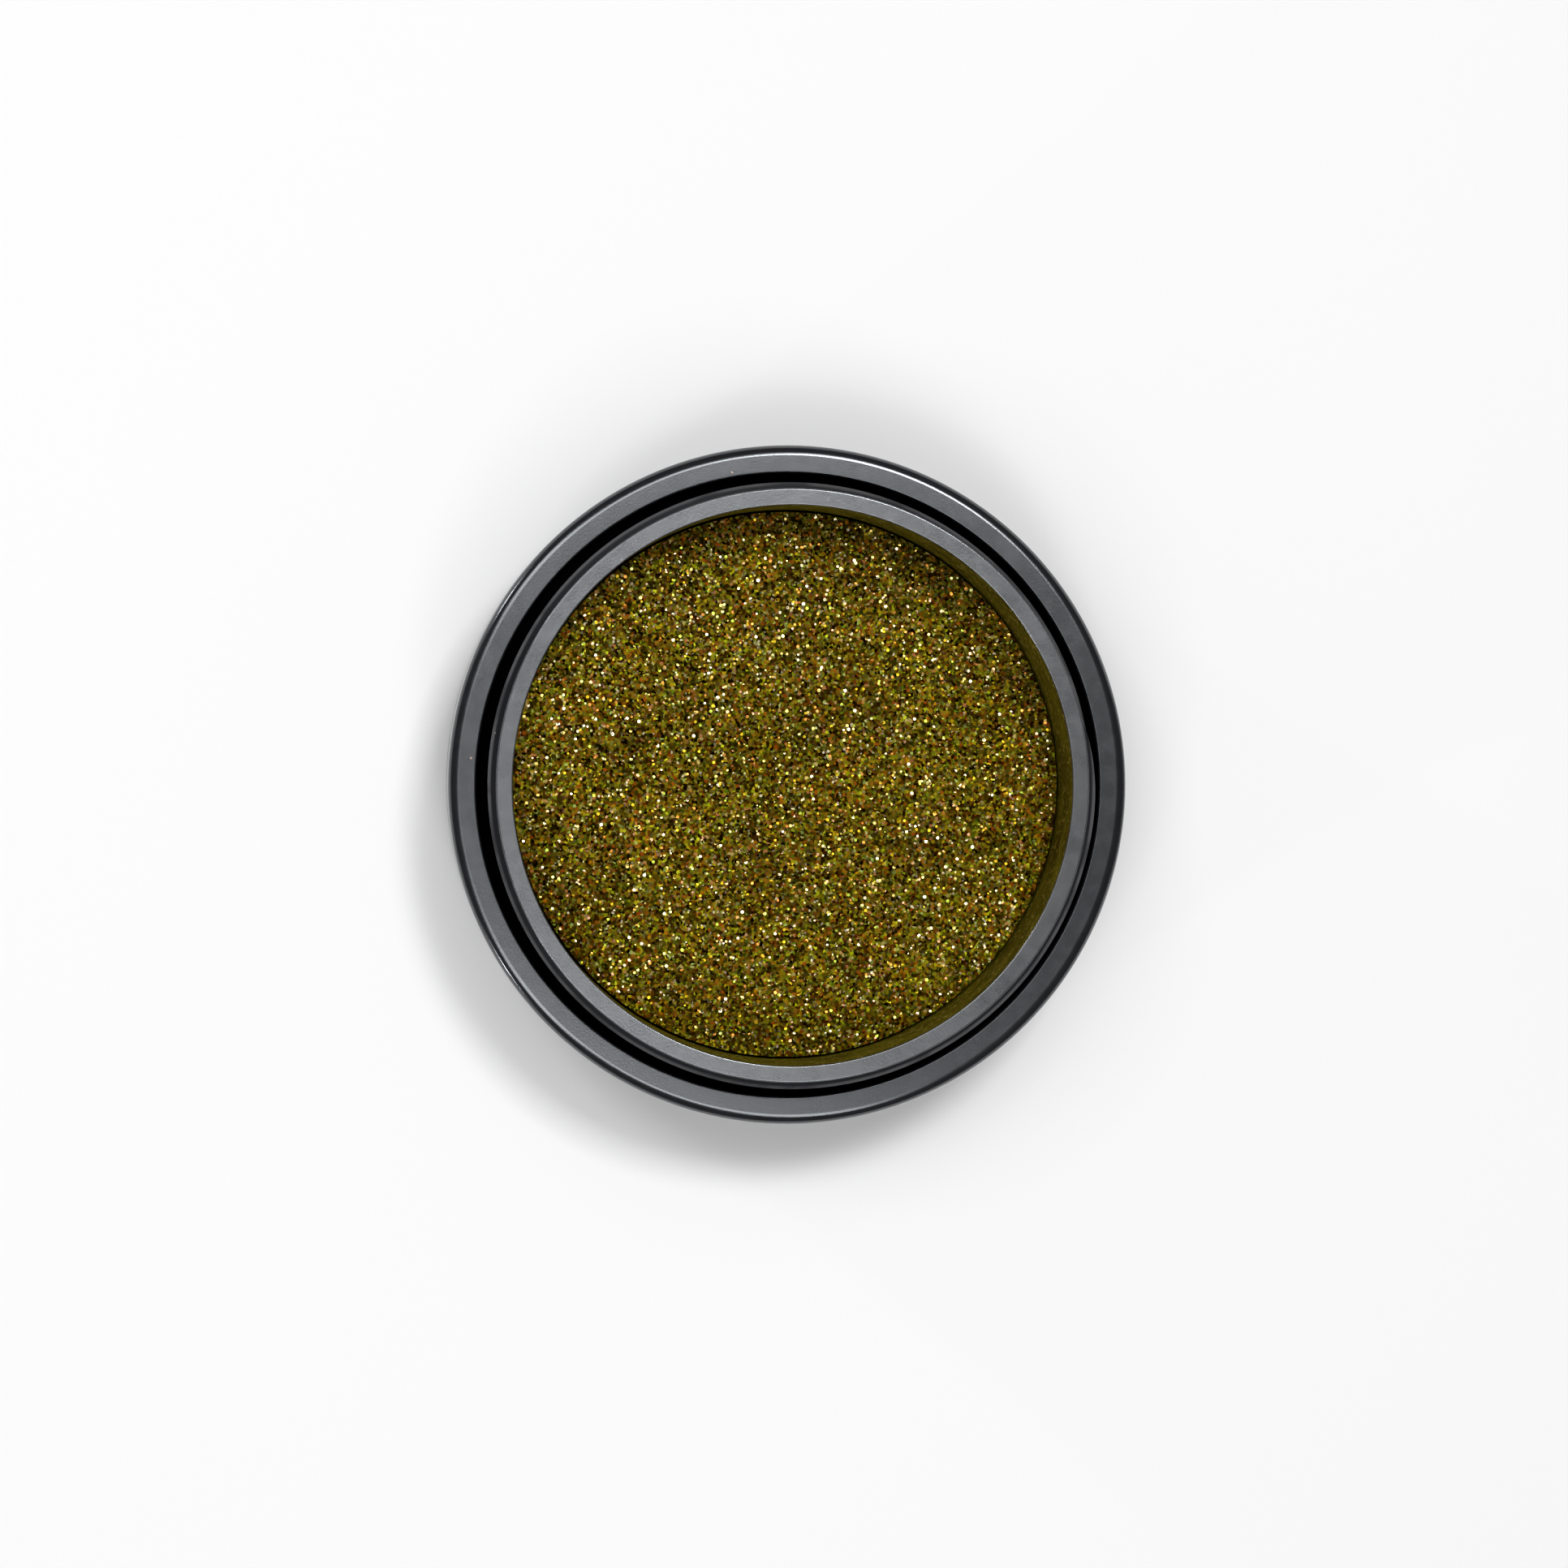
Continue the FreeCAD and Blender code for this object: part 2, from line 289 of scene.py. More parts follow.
def satin_plastic(name, grain, dust_share, roughness=SATIN_ROUGHNESS, ior=SATIN_IOR):
    """Moulded black plastic: satin grain, cloudy handling marks and a few specks of dust."""
    material, tree, shader, place = new_material(name)
    satin = add_node(tree, "ShaderNodeGroup", node_tree=moulded_satin)
    satin.inputs["Grain"].default_value = grain
    dust = add_node(tree, "ShaderNodeGroup", node_tree=stray_dust)
    dust.inputs["Share"].default_value = dust_share
    for group in (satin, dust):
        tree.links.new(place, group.inputs["Place"])
    worn = add_mix(tree, satin.outputs["Cloudiness"], SHELL_BLACK, SHELL_WORN)
    colour = add_mix(tree, dust.outputs["Mask"], worn, SPECK_TAN)
    tree.links.new(colour, shader.inputs["Base Color"])
    rough = add_range(tree, satin.outputs["Cloudiness"], 0.0, 1.0, *roughness)
    tree.links.new(rough, shader.inputs["Roughness"])
    bump = add_node(
        tree,
        "ShaderNodeBump",
        {"Strength": GRAIN_STRENGTH, "Distance": GRAIN_DEPTH, "Height": satin.outputs["Height"]},
    )
    tree.links.new(bump.outputs["Normal"], shader.inputs["Normal"])
    shader.inputs["IOR"].default_value = ior
    shader.inputs["Specular Tint"].default_value = COOL_SHEEN
    return material, tree, shader, place, colour, rough


def turned(tree, place):
    """How far a point is from the axis, and how high it is."""
    group = add_node(tree, "ShaderNodeGroup", node_tree=turned_place)
    tree.links.new(place, group.inputs["Place"])
    return group.outputs["Radius"], group.outputs["Height"]


def matt_where(tree, shader, rough, mask):
    """Takes the polish off the plastic where a mask says so."""
    dull = add_math(tree, "MULTIPLY", mask, CHANNEL_MATT)
    tree.links.new(add_math(tree, "MAXIMUM", rough, dull), shader.inputs["Roughness"])


shell_finish, tree, shader, place, colour, rough = satin_plastic(
    "satin_black_shell", SHELL_GRAIN, SHELL_DUST_SHARE
)
radius, height = turned(tree, place)
# Painted shade: the bore under the shoulder's inner edge, in the groove round the neck, turns near-black.
inner_side = add_math(tree, "LESS_THAN", radius, shell_radius - CHANNEL_SIDE)
lower = add_range(
    tree, height, shoulder_z - MATT_AND_SHADE_BELOW_SHOULDER[1], shoulder_z - MATT_AND_SHADE_BELOW_SHOULDER[0], 1.0, 0.0
)
channel_shade = add_math(tree, "MULTIPLY", inner_side, lower)
matt_where(tree, shader, rough, channel_shade)
tree.links.new(add_mix(tree, channel_shade, colour, PAINTED_SHADE_BLACK), shader.inputs["Base Color"])
tree.links.new(channel_shade, shader.inputs["Metallic"])
shell.data.materials.append(shell_finish)
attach(shell, "pot")
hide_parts("outer_shell")

# Inner jar
# The threaded neck, its flat rim and the well under it, a second black moulding snapped into the shell.
# The thread's crest is painted light grey as a highlight, and the rim's top a lighter grey that is partly
# rubbed wear and partly painted highlight. The neck's root is dull, with near-black painted shade, and a
# film of olive shadow dust coats the wall of the well.
WELL_DUST = (0.190, 0.158, 0.010, 1)
WELL_DUST_DARK = (0.100, 0.080, 0.005, 1)
WELL_GLITTER = (0.520, 0.410, 0.090, 1)
DUST_SPACING = 5500.0
LIT_GRAINS = (0.88, 0.98)
SMEAR_SCALE = 420.0
JAR_GRAIN = 7000.0
JAR_DUST_SHARE = 0.05
JAR_ROUGHNESS = (0.174, 0.191)
JAR_IOR = 1.95
FILM_PAST_WELL = (0.01 * MM, 0.05 * MM)
DUST_BELOW_RIM = (0.10 * MM, 0.30 * MM)
PAN_CLEARANCE = 0.2 * MM
THREAD_CREST = 17.72 * MM
HIGHLIGHT_INSIDE_CREST = (0.24 * MM, 0.12 * MM)
HIGHLIGHT_ABOVE_SHOULDER = (0.1 * MM, 0.6 * MM)
# The crest's grey is a painted highlight; the rim's grey is partly rubbed wear and partly painted
# highlight.
CREST_HIGHLIGHT_GREY = (0.085, 0.085, 0.088, 1)
RIM_WEAR_AND_HIGHLIGHT_GREY = (0.048, 0.048, 0.050, 1)
RIM_WEAR_AND_HIGHLIGHT_BAND = (0.06 * MM, 0.02 * MM)
WEAR_AND_HIGHLIGHT_SHARE = (0.35, 1.0)
MATT_AND_SHADE_ABOVE_SHOULDER = (1.4 * MM, 3.0 * MM)
_, jar_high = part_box("inner_jar")
_, pan_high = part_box("pan")
rim_z = jar_high.z
well_radius = pan_high.x + PAN_CLEARANCE

jar_finish, tree, shader, place, plastic, rough = satin_plastic(
    "satin_black_jar", JAR_GRAIN, JAR_DUST_SHARE, JAR_ROUGHNESS, JAR_IOR
)
radius, height = turned(tree, place)
inside = add_range(
    tree, radius, well_radius + FILM_PAST_WELL[0], well_radius + FILM_PAST_WELL[1], 1.0, 0.0
)
below = add_range(tree, height, rim_z - DUST_BELOW_RIM[1], rim_z - DUST_BELOW_RIM[0], 1.0, 0.0)
film = add_math(tree, "MULTIPLY", inside, below)
smear = add_noise(tree, place, SMEAR_SCALE, 6.0)
grains = add_node(tree, "ShaderNodeTexVoronoi", {"Vector": place, "Scale": DUST_SPACING}).outputs["Color"]
lit_grain = add_node(tree, "ShaderNodeSeparateColor", {"Color": grains}).outputs["Red"]
smeared = add_mix(tree, add_range(tree, smear, 0.3, 0.7), WELL_DUST_DARK, WELL_DUST)
dusty = add_mix(tree, add_range(tree, lit_grain, *LIT_GRAINS), smeared, WELL_GLITTER)
# Painted highlight: a light grey line on the thread's crest, mottled by the same pattern as the rim.
far_out = add_range(
    tree, radius, THREAD_CREST - HIGHLIGHT_INSIDE_CREST[0], THREAD_CREST - HIGHLIGHT_INSIDE_CREST[1]
)
high_up = add_range(
    tree, height, shoulder_z + HIGHLIGHT_ABOVE_SHOULDER[0], shoulder_z + HIGHLIGHT_ABOVE_SHOULDER[1]
)
near_crest = add_math(tree, "MULTIPLY", far_out, high_up)
# Painted shade: the neck's lower part, down in the groove, turns near-black, matt and metallic.
low_down = add_range(
    tree, height, shoulder_z + MATT_AND_SHADE_ABOVE_SHOULDER[0], shoulder_z + MATT_AND_SHADE_ABOVE_SHOULDER[1], 1.0, 0.0
)
shaded_root = add_math(tree, "MULTIPLY", low_down, add_math(tree, "SUBTRACT", 1.0, near_crest))
dull = add_math(tree, "MAXIMUM", film, shaded_root)
matt_where(tree, shader, rough, dull)
tree.links.new(dull, shader.inputs["Metallic"])
# The rim's top turns a lighter grey, partly rubbed wear and partly painted highlight.
on_rim = add_range(tree, height, rim_z - RIM_WEAR_AND_HIGHLIGHT_BAND[0], rim_z - RIM_WEAR_AND_HIGHLIGHT_BAND[1])
wear_and_highlight = add_range(tree, smear, 0.3, 0.6, *WEAR_AND_HIGHLIGHT_SHARE)
shaded_lower_neck = add_mix(tree, shaded_root, plastic, PAINTED_SHADE_BLACK)
highlighted_neck = add_mix(tree, add_math(tree, "MULTIPLY", near_crest, wear_and_highlight), shaded_lower_neck, CREST_HIGHLIGHT_GREY)
neck = add_mix(tree, add_math(tree, "MULTIPLY", on_rim, wear_and_highlight), highlighted_neck, RIM_WEAR_AND_HIGHLIGHT_GREY)
tree.links.new(add_mix(tree, film, neck, dusty), shader.inputs["Base Color"])
dress("inner_jar", jar_finish)

# Pan and its glue
# A shallow dish drawn from thin bare metal, which the shadow is pressed into, and the disc of clear
# glue that holds it to the jar's floor.
PAN_TONES = ((0.20, 0.17, 0.10, 1), (0.42, 0.38, 0.28, 1))
PAN_ROUGHNESS = (0.35, 0.6)
DRAWN_STRETCH = (1, 1, 12)
DRAWN_SCALE = 1500.0
GLUE_TONES = ((0.60, 0.55, 0.42, 1), (0.76, 0.72, 0.60, 1))
GLUE_ROUGHNESS = 0.35
GLUE_SCALE = 600.0


def two_tone(tree, pattern, dark, pale):
    """A colour that eases from a dark tone to a pale one across the middle of a pattern."""
    return add_ramp(tree, pattern, [(0.3, dark), (0.7, pale)])


pan_finish, tree, shader, place = new_material("drawn_metal_pan")
stretched = add_node(tree, "ShaderNodeMapping", {"Vector": place, "Scale": DRAWN_STRETCH}).outputs["Vector"]
drawn = add_noise(tree, stretched, DRAWN_SCALE, 4.0)
tree.links.new(two_tone(tree, drawn, *PAN_TONES), shader.inputs["Base Color"])
tree.links.new(add_range(tree, drawn, 0.2, 0.8, *PAN_ROUGHNESS), shader.inputs["Roughness"])
shader.inputs["Metallic"].default_value = 1.0
dress("pan", pan_finish)

glue_finish, tree, shader, place = new_material("set_glue")
streaks = add_noise(tree, place, GLUE_SCALE, 3.0)
tree.links.new(two_tone(tree, streaks, *GLUE_TONES), shader.inputs["Base Color"])
shader.inputs["Roughness"].default_value = GLUE_ROUGHNESS
dress("pan_adhesive", glue_finish)

# Pressed shadow
# Olive-gold pigment and fine glitter pressed level in the pan. Its top is a bed of tiny grains, and
# the finest glitter lies in it as mirror specks that face every way.
BED_CELLS = 240
GRAIN_SIZE = 0.14 * MM
BED_RELIEF = 0.05 * MM
SWELL_SIZE = 3.5 * MM
BED_SWELL = 0.05 * MM
BED_SMOOTH_UP_TO = math.radians(50)
BRIM_GAP = 0.16 * MM
BRIM_THICKNESS = 0.06 * MM
OLIVE_DARK = (0.050, 0.034, 0.0005, 1)
OLIVE_MID = (0.112, 0.078, 0.0013, 1)
OLIVE_GOLD = (0.262, 0.182, 0.0065, 1)
OLIVE_COPPER = (0.390, 0.163, 0.010, 1)
OLIVE_GREEN = (0.185, 0.205, 0.008, 1)
OLIVE_PALE = (0.600, 0.490, 0.140, 1)
GRAIN_HUES = [(0.0, (1.0, 0.45, 0.5, 1)), (0.5, (0.80, 0.80, 0.8, 1)), (1.0, (0.64, 1.0, 0.8, 1))]
SHIMMER_SPACING = 6000.0
SHIMMER_LEAN = 1.1
MIRROR_GRAINS = (0.25, 0.65)
POWDER_SCALE = 260.0
POWDER_TONES = ((0.75, 0.75, 0.75, 1), (1.1, 1.1, 1.1, 1))
SHADOW_ROUGHNESS = 0.40
SHADOW_SHEEN = 0.05
cake_low, cake_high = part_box("shadow_cake")
cake_radius = cake_high.x
brim_radius = well_radius - BRIM_GAP


def apply_modifiers(piece):
    """Makes every modifier's result the piece's own mesh."""
    for modifier in list(piece.modifiers):
        bpy.ops.object.modifier_apply(modifier=modifier.name)


def round_off(piece, radius):
    """Turns a square grid of half-width 1 into a disc of even quads."""
    for vertex in piece.data.vertices:
        u, v = vertex.co.x, vertex.co.y
        vertex.co.x = radius * u * math.sqrt(1 - v * v / 2)
        vertex.co.y = radius * v * math.sqrt(1 - u * u / 2)


def roughen(piece, name, kind, size, strength):
    """Moves every point up or down by a procedural pattern."""
    pattern = bpy.data.textures.new(name, kind)
    pattern.noise_scale = size
    lumps = piece.modifiers.new(name, "DISPLACE")
    lumps.texture = pattern
    lumps.texture_coords = "LOCAL"
    lumps.direction = "Z"
    lumps.strength = strength
    lumps.mid_level = 0.5


bpy.ops.mesh.primitive_grid_add(x_subdivisions=BED_CELLS, y_subdivisions=BED_CELLS, size=2)
cake = active_piece("pressed_glitter")
round_off(cake, brim_radius)
for vertex in cake.data.vertices:
    vertex.co.z = pan_high.z + BRIM_THICKNESS
roughen(cake, "bed_grains", "CLOUDS", GRAIN_SIZE, BED_RELIEF)
roughen(cake, "bed_swell", "CLOUDS", SWELL_SIZE, BED_SWELL)
apply_modifiers(cake)
bpy.ops.object.mode_set(mode="EDIT")
bpy.ops.mesh.select_all(action="SELECT")
bpy.ops.mesh.region_to_loop()
bpy.ops.mesh.extrude_region_move(TRANSFORM_OT_translate={"value": (0, 0, -BRIM_THICKNESS)})
bpy.ops.transform.resize(value=(1, 1, 0))
bpy.ops.mesh.extrude_region_move(TRANSFORM_OT_translate={"value": (0, 0, 0)})
bpy.ops.transform.resize(value=(cake_radius / brim_radius, cake_radius / brim_radius, 1))
bpy.ops.mesh.extrude_region_move(TRANSFORM_OT_translate={"value": (0, 0, cake_low.z - pan_high.z)})
bpy.ops.mesh.edge_face_add()
bpy.ops.mesh.select_all(action="SELECT")
bpy.ops.mesh.normals_make_consistent(inside=False)
bpy.ops.object.mode_set(mode="OBJECT")
bpy.ops.object.shade_smooth_by_angle(angle=BED_SMOOTH_UP_TO)

bed_finish, tree, shader, place = new_material("olive_gold_shadow")
cells = add_node(tree, "ShaderNodeTexVoronoi", {"Vector": place, "Scale": SHIMMER_SPACING})
pick = add_node(tree, "ShaderNodeSeparateColor", {"Color": cells.outputs["Color"]}).outputs
powder = add_noise(tree, place, POWDER_SCALE, 6.0)
speckle = add_ramp(
    tree,
    pick["Red"],
    [
        (0.00, OLIVE_DARK),
        (0.28, OLIVE_MID),
        (0.62, OLIVE_GOLD),
        (0.82, OLIVE_COPPER),
        (0.90, OLIVE_GREEN),
        (0.94, OLIVE_PALE),
    ],
    smooth=False,
)
shade = two_tone(tree, powder, *POWDER_TONES)
hue = add_ramp(tree, pick["Blue"], GRAIN_HUES)
grain_colour = add_mix(tree, 1.0, add_mix(tree, 1.0, speckle, hue, "MULTIPLY"), shade, "MULTIPLY")
tree.links.new(grain_colour, shader.inputs["Base Color"])
tree.links.new(add_range(tree, pick["Green"], *MIRROR_GRAINS), shader.inputs["Metallic"])
shader.inputs["Roughness"].default_value = SHADOW_ROUGHNESS
shader.inputs["Specular IOR Level"].default_value = SHADOW_SHEEN
facing = add_node(
    tree,
    "ShaderNodeVectorMath",
    {0: cells.outputs["Color"], 1: (0.5, 0.5, 0.5)},
    operation="SUBTRACT",
).outputs["Vector"]
leaning = add_node(
    tree, "ShaderNodeVectorMath", {0: facing, "Scale": SHIMMER_LEAN}, operation="SCALE"
).outputs["Vector"]
upright = add_node(tree, "ShaderNodeNewGeometry").outputs["Normal"]
tilted = add_node(tree, "ShaderNodeVectorMath", {0: upright, 1: leaning}, operation="ADD").outputs["Vector"]
level = add_node(tree, "ShaderNodeVectorMath", {0: tilted}, operation="NORMALIZE").outputs["Vector"]
tree.links.new(level, shader.inputs["Normal"])
cake.data.materials.append(bed_finish)
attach(cake, "pot")
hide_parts("shadow_cake")

# Glitter flakes
# Hexagons cut from metal-coated film, gold with some pale, copper and green ones, strewn through the
# top of the pressed shadow. Each lies at its own tilt, so only some catch the light at once.
FLAKE_RADIUS = 0.095 * MM
FLAKE_THICKNESS = 0.025 * MM
FLAKE_TAPER = 0.9
FLAKE_SIZES = (0.6, 1.25)
FLAKE_ROUGHNESS = 0.38
FLAKE_COUNT = 9500
FLAKE_TILT = math.radians(30)
FLAKE_MARGIN = 0.12 * MM
FLAKE_SEED = 11
STREWN_SIDES = 96
FLAKE_TONES = [
    (0.00, (0.42, 0.29, 0.014, 1)),
    (0.20, (0.62, 0.47, 0.13, 1)),
    (0.38, (0.82, 0.71, 0.46, 1)),
    (0.55, (0.66, 0.26, 0.05, 1)),
    (0.66, (0.78, 0.42, 0.22, 1)),
    (0.72, (0.34, 0.42, 0.05, 1)),
    (0.79, (0.60, 0.60, 0.22, 1)),
    (0.88, (0.16, 0.11, 0.003, 1)),
]
strewn_radius = brim_radius - FLAKE_MARGIN
bed_top = pan_high.z + BRIM_THICKNESS

bpy.ops.object.select_all(action="DESELECT")
bpy.ops.mesh.primitive_cylinder_add(vertices=6, radius=FLAKE_RADIUS, depth=FLAKE_THICKNESS)
flake = active_piece("one_flake")
for vertex in flake.data.vertices:
    vertex.select = vertex.co.z > 0
bpy.ops.object.mode_set(mode="EDIT")
bpy.ops.transform.resize(value=(FLAKE_TAPER, FLAKE_TAPER, 1))
bpy.ops.object.mode_set(mode="OBJECT")
bpy.ops.object.select_all(action="DESELECT")
bpy.ops.mesh.primitive_circle_add(
    vertices=STREWN_SIDES, radius=strewn_radius, fill_type="NGON", location=(0, 0, bed_top)
)
bpy.ops.object.transform_apply(location=True)
glitter = active_piece("glitter_flakes")

scatter = bpy.data.node_groups.new("flake_scatter", "GeometryNodeTree")
for way in ("INPUT", "OUTPUT"):
    scatter.interface.new_socket("Geometry", in_out=way, socket_type="NodeSocketGeometry")
bed = scatter.nodes.new("NodeGroupInput").outputs["Geometry"]
strewn = add_node(
    scatter,
    "GeometryNodeDistributePointsOnFaces",
    {"Mesh": bed, "Density": FLAKE_COUNT / (math.pi * strewn_radius**2), "Seed": FLAKE_SEED},
)
lean = add_node(
    scatter,
    "FunctionNodeRandomValue",
    {0: (-FLAKE_TILT, -FLAKE_TILT, -math.pi), 1: (FLAKE_TILT, FLAKE_TILT, math.pi), "Seed": FLAKE_SEED},
    data_type="FLOAT_VECTOR",
)
size = add_node(
    scatter,
    "FunctionNodeRandomValue",
    {2: FLAKE_SIZES[0], 3: FLAKE_SIZES[1], "Seed": FLAKE_SEED + 1},
    data_type="FLOAT",
)
tone = add_node(
    scatter, "FunctionNodeRandomValue", {2: 0.0, 3: 1.0, "Seed": FLAKE_SEED + 2}, data_type="FLOAT"
)
placed = add_node(
    scatter,
    "GeometryNodeInstanceOnPoints",
    {
        "Points": strewn.outputs["Points"],
        "Instance": add_node(scatter, "GeometryNodeObjectInfo", {"Object": flake}).outputs["Geometry"],
        "Rotation": lean.outputs[0],
        "Scale": size.outputs[1],
    },
)
toned = add_node(
    scatter,
    "GeometryNodeStoreNamedAttribute",
    {"Geometry": placed.outputs["Instances"], "Name": "flake_tone", "Value": tone.outputs[1]},
    data_type="FLOAT",
    domain="INSTANCE",
)
made = add_node(scatter, "GeometryNodeRealizeInstances", {"Geometry": toned.outputs["Geometry"]})
scatter.links.new(made.outputs["Geometry"], scatter.nodes.new("NodeGroupOutput").inputs["Geometry"])
strewing = glitter.modifiers.new("strew", "NODES")
strewing.node_group = scatter
apply_modifiers(glitter)
bpy.data.objects.remove(flake)

flake_finish, tree, shader, place = new_material("metal_film_flakes")
tone = add_node(tree, "ShaderNodeAttribute", attribute_name="flake_tone").outputs["Fac"]
tree.links.new(add_ramp(tree, tone, FLAKE_TONES, smooth=False), shader.inputs["Base Color"])
shader.inputs["Metallic"].default_value = 1.0
shader.inputs["Roughness"].default_value = FLAKE_ROUGHNESS
glitter.data.materials.clear()
glitter.data.materials.append(flake_finish)
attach(glitter, "pot")

# Base label
# A plain round sticker of matt white paper, blank, in the recess under the pot.
LABEL_TONES = ((0.76, 0.75, 0.71, 1), (0.85, 0.84, 0.81, 1))
LABEL_ROUGHNESS = 0.8
FIBRE_SCALE = 3000.0
FIBRE_DEPTH = 0.01 * MM
FIBRE_STRENGTH = 0.3
label_finish, tree, shader, place = new_material("blank_label_paper")
fibre = add_noise(tree, place, FIBRE_SCALE, 6.0)
tree.links.new(two_tone(tree, fibre, *LABEL_TONES), shader.inputs["Base Color"])
bump = add_node(
    tree, "ShaderNodeBump", {"Strength": FIBRE_STRENGTH, "Distance": FIBRE_DEPTH, "Height": fibre}
)
tree.links.new(bump.outputs["Normal"], shader.inputs["Normal"])
shader.inputs["Roughness"].default_value = LABEL_ROUGHNESS
dress("base_label", label_finish)

# Lid
# A satin black shell as wide as the pot, a plainer threaded cap pressed into it, and a liner disc of
# white-faced board that the rim has marked with a ring and dust has smudged. It lies upside down.
LID_WALL = 0.8 * MM
LID_ROOF = 1.1 * MM
LID_TOP_RADIUS = 0.6 * MM
LID_SKIRT_RADIUS = 0.15 * MM
NECK_WALL = 0.97 * MM
RIM_MARK = (0.35 * MM, 0.75 * MM)
MARK_BROWN = (0.42, 0.38, 0.27, 1)
MARK_SHARE = 0.45
LID_DUST_SHARE = 0.02
CAP_GRAIN = 6000.0
CAP_DUST_SHARE = 0.03
CAP_ROUGHNESS = (0.30, 0.42)
BOARD_TONES = ((0.72, 0.71, 0.67, 1), (0.82, 0.81, 0.78, 1))
BOARD_SCALE = 2200.0
BOARD_DEPTH = 0.05 * MM
BOARD_STRENGTH = 0.6
BOARD_RELIEF = 0.2
LINER_ROUGHNESS = 0.7
SMUDGE_OLIVE = (0.36, 0.28, 0.08, 1)
SMUDGE_SCALE = 180.0
SMUDGE_EDGE = (0.56, 0.78)
SMUDGE_SHARE = 0.55
_, lid_shell_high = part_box("lid_shell")
lid_low, lid_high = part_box("lid_liner")
lid_centre = (lid_low + lid_high) / 2
lid_inside = shell_radius - LID_WALL
skirt_z = lid_shell_high.z - LID_SKIRT_RADIUS
lid_outline = [(lid_inside, LID_ROOF)]
lid_outline += round_corner(lid_inside + LID_SKIRT_RADIUS, skirt_z, LID_SKIRT_RADIUS, 180, 90)
lid_outline += round_corner(shell_radius - LID_SKIRT_RADIUS, skirt_z, LID_SKIRT_RADIUS, 90, 0)
lid_outline += round_corner(shell_radius - LID_TOP_RADIUS, LID_TOP_RADIUS, LID_TOP_RADIUS, 0, -90)
lid_shell = turn_piece("turned_lid_shell", lid_outline, lid_centre.x)
lid_shell_finish, *_ = satin_plastic("satin_black_lid", SHELL_GRAIN, LID_DUST_SHARE)
lid_shell.data.materials.append(lid_shell_finish)
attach(lid_shell, "lid")
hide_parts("lid_shell")
cap_finish, *_ = satin_plastic("plain_black_cap", CAP_GRAIN, CAP_DUST_SHARE, CAP_ROUGHNESS)
dress("lid_inner_cap", cap_finish)

liner_finish, tree, shader, place = new_material("faced_liner_board")
moved = add_node(
    tree, "ShaderNodeMapping", {"Vector": place, "Location": (-lid_centre.x, -lid_centre.y, 0)}
).outputs["Vector"]
radius, _ = turned(tree, moved)
rim_middle = well_radius + NECK_WALL / 2
from_rim = add_math(tree, "ABSOLUTE", add_math(tree, "SUBTRACT", radius, rim_middle))
pressed = add_range(tree, from_rim, RIM_MARK[0], RIM_MARK[1], 1.0, 0.0)
board = add_noise(tree, place, BOARD_SCALE, 6.0)
patches = add_noise(tree, place, SMUDGE_SCALE, 8.0)
white = two_tone(tree, board, *BOARD_TONES)
marked = add_mix(tree, add_math(tree, "MULTIPLY", pressed, MARK_SHARE), white, MARK_BROWN)
smudges = add_range(tree, patches, *SMUDGE_EDGE, 0.0, SMUDGE_SHARE)
dusted = add_mix(tree, smudges, marked, SMUDGE_OLIVE)
tree.links.new(dusted, shader.inputs["Base Color"])
height = add_math(tree, "SUBTRACT", add_math(tree, "MULTIPLY", board, BOARD_RELIEF), pressed)
bump = add_node(
    tree, "ShaderNodeBump", {"Strength": BOARD_STRENGTH, "Distance": BOARD_DEPTH, "Height": height}
)
tree.links.new(bump.outputs["Normal"], shader.inputs["Normal"])
shader.inputs["Roughness"].default_value = LINER_ROUGHNESS
dress("lid_liner", liner_finish)

# Table, light and camera
# A pale table under soft lights, most of them in pairs, with one from the upper right that shades the
# well, and a long lens that looks almost straight down.
FLOOR_PALE = (0.90, 0.90, 0.90, 1)
FLOOR_ROUGHNESS = 0.9
FLOOR_SIDE = 4
STUDIO_GREY = (0.11, 0.11, 0.11, 1)
shoulder = Vector((0, 0, shoulder_z))

bpy.ops.object.select_all(action="DESELECT")
bpy.ops.mesh.primitive_plane_add(size=FLOOR_SIDE)
floor = active_piece("table")
floor_finish, tree, shader, place = new_material("pale_table")
shader.inputs["Base Color"].default_value = FLOOR_PALE
shader.inputs["Roughness"].default_value = FLOOR_ROUGHNESS
floor.data.materials.append(floor_finish)

world = bpy.data.worlds.new("studio")
bpy.context.scene.world = world
world.use_nodes = True
world.node_tree.nodes["Background"].inputs["Color"].default_value = STUDIO_GREY
bpy.context.scene.view_settings.view_transform = "Standard"


def soft_light(name, azimuth, lean, reach, size, watts):
    """A soft light of a width and a height, leaning from overhead towards an azimuth, aimed at the pot."""
    turn, lean = math.radians(azimuth), math.radians(lean)
    outward = Vector((math.sin(lean) * math.cos(turn), math.sin(lean) * math.sin(turn), math.cos(lean)))
    lamp = bpy.data.lights.new(name, "AREA")
    lamp.shape = "RECTANGLE"
    lamp.size, lamp.size_y = size
    lamp.energy = watts
    holder = bpy.data.objects.new(name, lamp)
    holder.location = shoulder + outward * reach
    holder.rotation_euler = (-outward).to_track_quat("-Z", "Y").to_euler()
    holder.visible_camera = False
    bpy.context.collection.objects.link(holder)


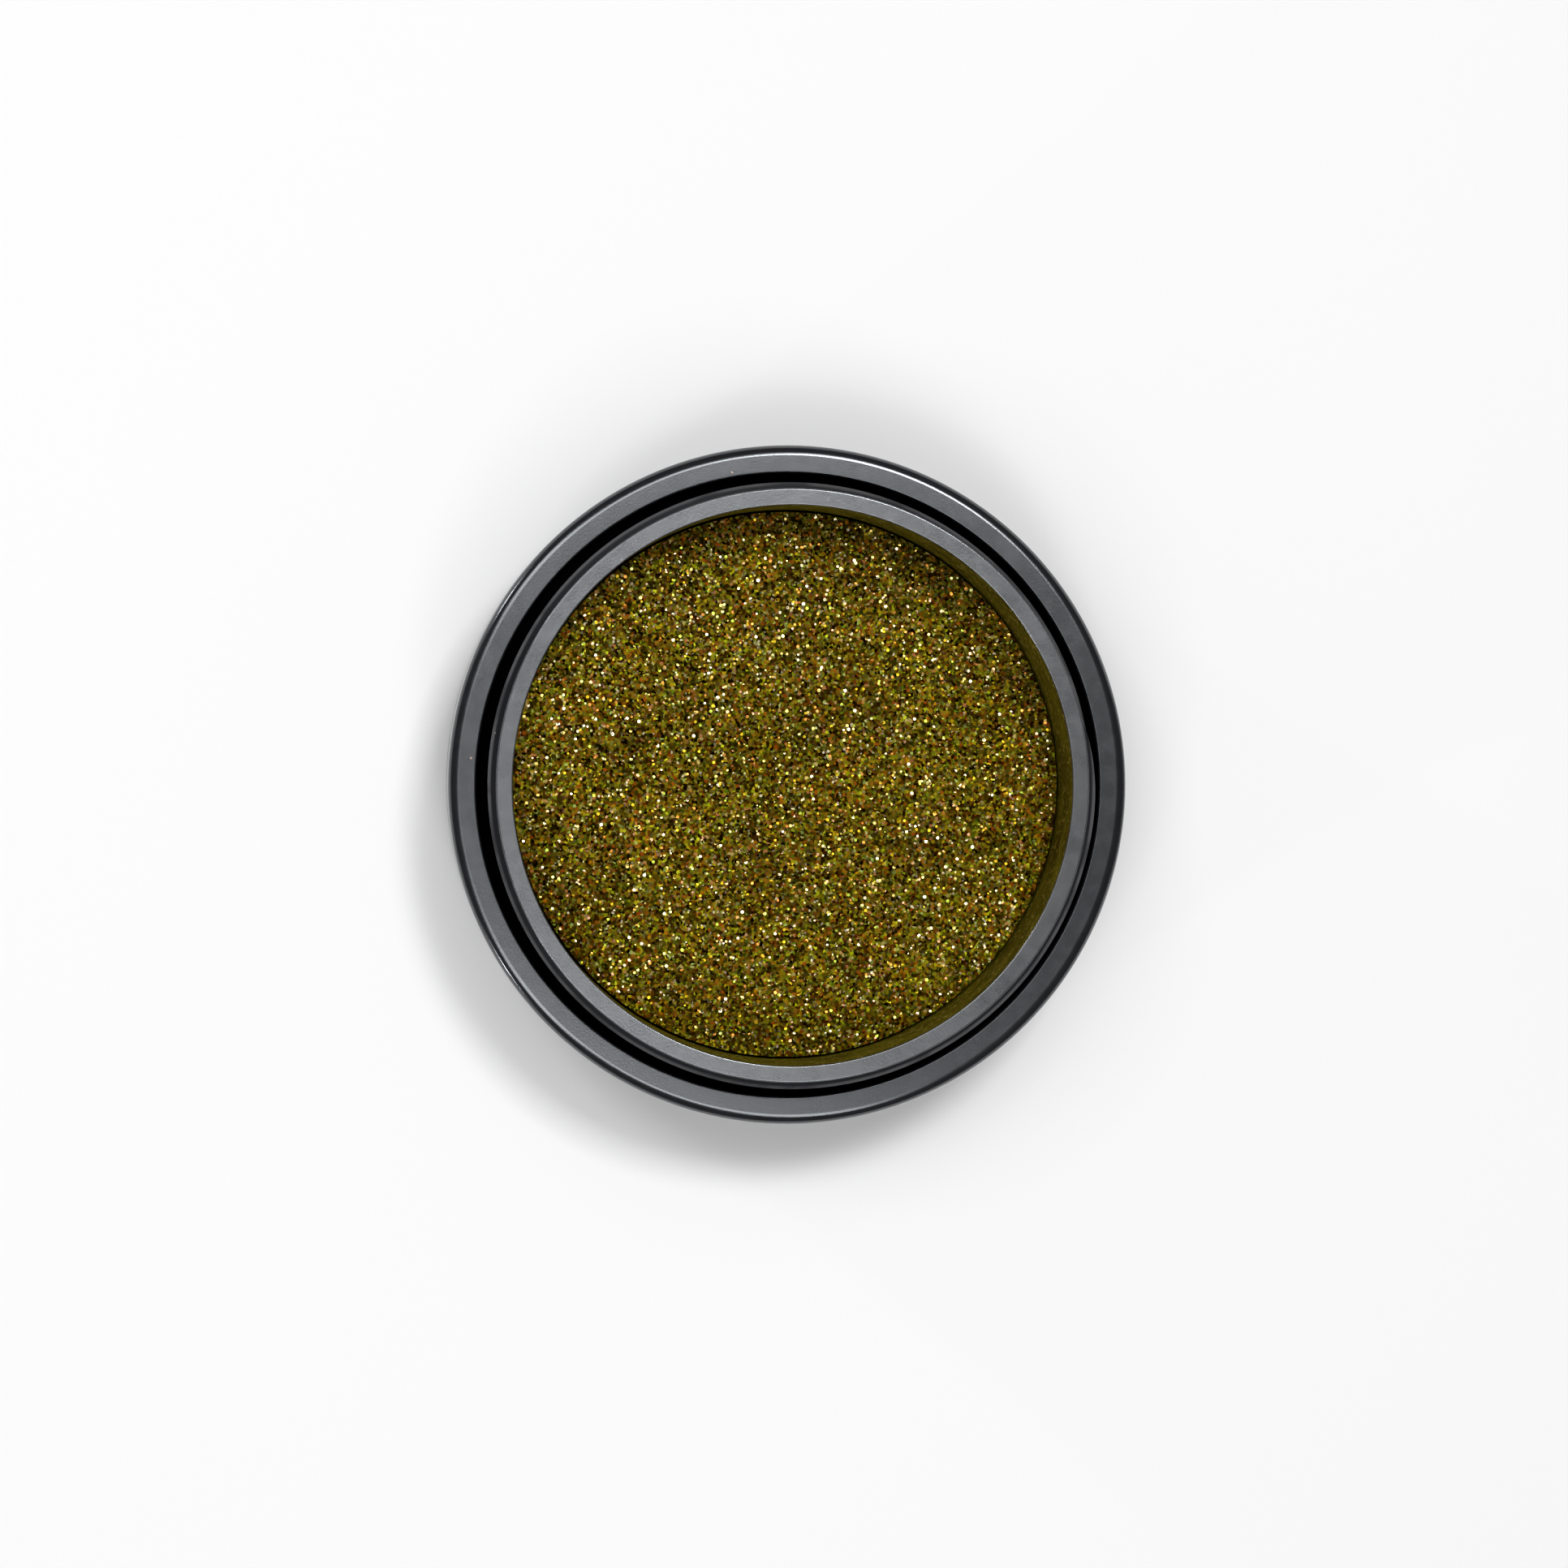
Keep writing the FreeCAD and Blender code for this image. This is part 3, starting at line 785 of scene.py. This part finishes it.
EDGE_LIGHT = (25, 0.60, (0.09, 0.22))
PAIRED_LIGHTS = {
    "overhead": (109, 12.4, 0.70, (0.18, 0.20), 0.62),
    "edge_left": (135, *EDGE_LIGHT, 0.40),
    "glint": (145, 83, 0.30, (0.02, 0.02), 0.08),
}
SINGLE_LIGHTS = {
    "far_edge": (78, *EDGE_LIGHT, 0.12),
    "near_edge": (-78, *EDGE_LIGHT, 0.46),
    "well_shading": (61, 17.5, 0.70, (0.12, 0.12), 2.0),
}
for name, (azimuth, *rest) in PAIRED_LIGHTS.items():
    soft_light("far_" + name, azimuth, *rest)
    soft_light("near_" + name, -azimuth, *rest)
for name, values in SINGLE_LIGHTS.items():
    soft_light(name, *values)

CAMERA_TILT = math.radians(3.7)
CAMERA_TOWARDS = math.radians(172)
CAMERA_DISTANCE = 360 * MM
SENSOR_WIDTH = 36.0
NEAREST_SEEN = 0.01
PICTURE_PIXELS = 1932
SHOULDER_PIXELS = (971.5, 967.1)
SHOULDER_RADIUS_PIXELS = 419.0
picture_width = PICTURE_PIXELS * shell_radius / SHOULDER_RADIUS_PIXELS
pixel = picture_width / PICTURE_PIXELS
middle = PICTURE_PIXELS / 2
aim = shoulder + Vector((middle - SHOULDER_PIXELS[0], SHOULDER_PIXELS[1] - middle, 0)) * pixel
sight = Vector(
    (
        math.sin(CAMERA_TILT) * math.cos(CAMERA_TOWARDS),
        math.sin(CAMERA_TILT) * math.sin(CAMERA_TOWARDS),
        math.cos(CAMERA_TILT),
    )
)
lens = bpy.data.cameras.new("camera")
lens.sensor_width = SENSOR_WIDTH
lens.lens = SENSOR_WIDTH * CAMERA_DISTANCE / picture_width
lens.clip_start = NEAREST_SEEN
camera = bpy.data.objects.new("camera", lens)
camera.location = aim + sight * CAMERA_DISTANCE
right = Vector((0, 1, 0)).cross(sight).normalized()
camera.rotation_euler = Matrix((right, sight.cross(right), sight)).transposed().to_euler()
bpy.context.collection.objects.link(camera)
bpy.context.scene.camera = camera
